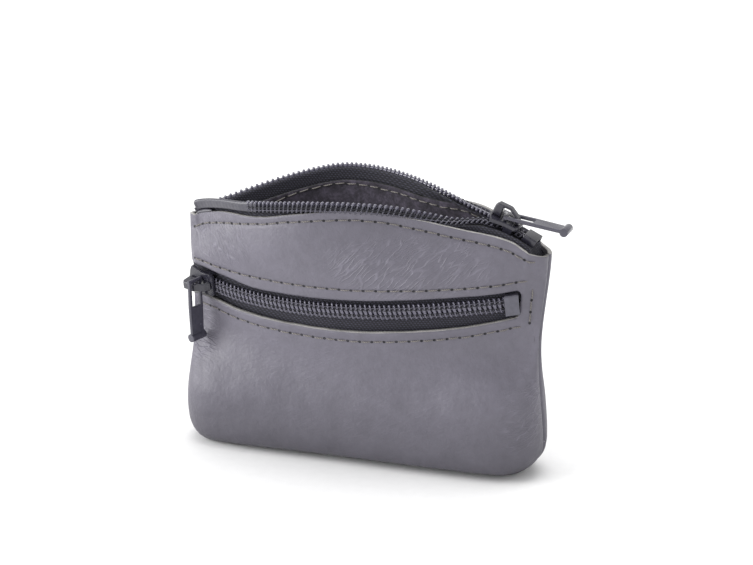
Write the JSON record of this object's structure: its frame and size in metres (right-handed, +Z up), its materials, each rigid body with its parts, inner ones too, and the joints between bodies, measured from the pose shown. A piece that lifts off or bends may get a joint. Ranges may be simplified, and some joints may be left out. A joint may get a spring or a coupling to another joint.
{
  "type": "zip coin purse",
  "caption": "Small leather coin purse with an arched mouth zip standing open and a closed zip pocket across its front.",
  "frame": {"origin": "the middle of the base, on the floor", "axes": "+X to the right of the purse seen from its front, +Y to the back, +Z up; the pocket zip faces -Y"},
  "size_m": [0.1021, 0.0342, 0.0719],
  "materials": {
    "leather_front": "pebbled grey-violet leather",
    "leather_back": "pebbled grey-violet leather",
    "lining": "matt suede cloth",
    "pocket_fabric": "thin matt cloth",
    "zip_tape": "woven zip tape",
    "zip_coil": "moulded coil",
    "slider_enamel": "satin enamel on cast metal",
    "pull_enamel": "satin enamel on cast metal",
    "spring_steel": "plain",
    "stop_metal": "satin enamel"
  },
  "bodies": {
    "purse": {"front_panel": "leather_front", "back_panel": "leather_back", "front_lining": "lining", "back_lining": "lining", "pocket_bag_front": "pocket_fabric", "pocket_bag_back": "pocket_fabric", "main_end_stop": "stop_metal", "front_end_stop": "stop_metal"},
    "main_slider": {"main_slider_body": "slider_enamel", "main_slider_cover": "slider_enamel", "main_slider_lock_spring": "spring_steel"},
    "main_pull": {"main_slider_pull": "pull_enamel"},
    "front_slider": {"front_slider_body": "slider_enamel", "front_slider_cover": "slider_enamel", "front_slider_lock_spring": "spring_steel"},
    "front_pull": {"front_slider_pull": "pull_enamel"},
    "mouth_front": {"main_tape_front": "zip_tape", "main_coil_front": "zip_coil"},
    "mouth_back": {"main_tape_back": "zip_tape", "main_coil_back": "zip_coil"},
    "front_row_lower": {"front_tape_lower": "zip_tape", "front_coil_lower": "zip_coil"},
    "front_row_upper": {"front_tape_upper": "zip_tape", "front_coil_upper": "zip_coil"}
  },
  "joints": [
    {"name": "main_slide", "type": "hinge", "parent": "purse", "child": "main_slider", "pos_m": [0, 0, -0.03236], "axis": [0, -1, 0], "range_deg": [-0.8, 42.5]},
    {"name": "main_pull_swing", "type": "hinge", "parent": "main_slider", "child": "main_pull", "pos_m": [0.03771, 0, 0.06661], "axis": [0, -1, 0], "range_deg": [0, 150]},
    {"name": "front_slide", "type": "hinge", "parent": "purse", "child": "front_slider", "pos_m": [-0.00061, 0.0846, 0.06052], "axis": [-0.0378, -0.1789, 0.9831], "range_deg": [0, 44]},
    {"name": "front_pull_swing", "type": "hinge", "parent": "front_slider", "child": "front_pull", "pos_m": [-0.04266, -0.00949, 0.04361], "axis": [-0.4055, -0.8964, -0.1787], "range_deg": [-12, 12]},
    {"name": "mouth_front_slide", "type": "slide", "parent": "purse", "child": "mouth_front", "axis": [0, 1, 0], "range_m": [-0.0003, 0.015], "deforming": ["main_tape_front", "main_coil_front"]},
    {"name": "mouth_back_slide", "type": "slide", "parent": "purse", "child": "mouth_back", "axis": [0, -1, 0], "range_m": [-0.0003, 0.015], "deforming": ["main_tape_back", "main_coil_back"]},
    {"name": "front_row_lower_slide", "type": "slide", "parent": "purse", "child": "front_row_lower", "axis": [0.0378, 0.1789, -0.9831], "range_m": [0, 0.0013], "deforming": ["front_tape_lower", "front_coil_lower"]},
    {"name": "front_row_upper_slide", "type": "slide", "parent": "purse", "child": "front_row_upper", "axis": [-0.0378, -0.1789, 0.9831], "range_m": [0, 0.0013], "deforming": ["front_tape_upper", "front_coil_upper"]}
  ],
  "couplings": [
    {"joint": "mouth_front_slide", "follows": "main_slide", "m_per_rad": 0.0195},
    {"joint": "mouth_back_slide", "follows": "main_slide", "m_per_rad": 0.0195},
    {"joint": "front_row_lower_slide", "follows": "front_slide", "m_per_rad": 0.0016},
    {"joint": "front_row_upper_slide", "follows": "front_slide", "m_per_rad": 0.0016}
  ]
}
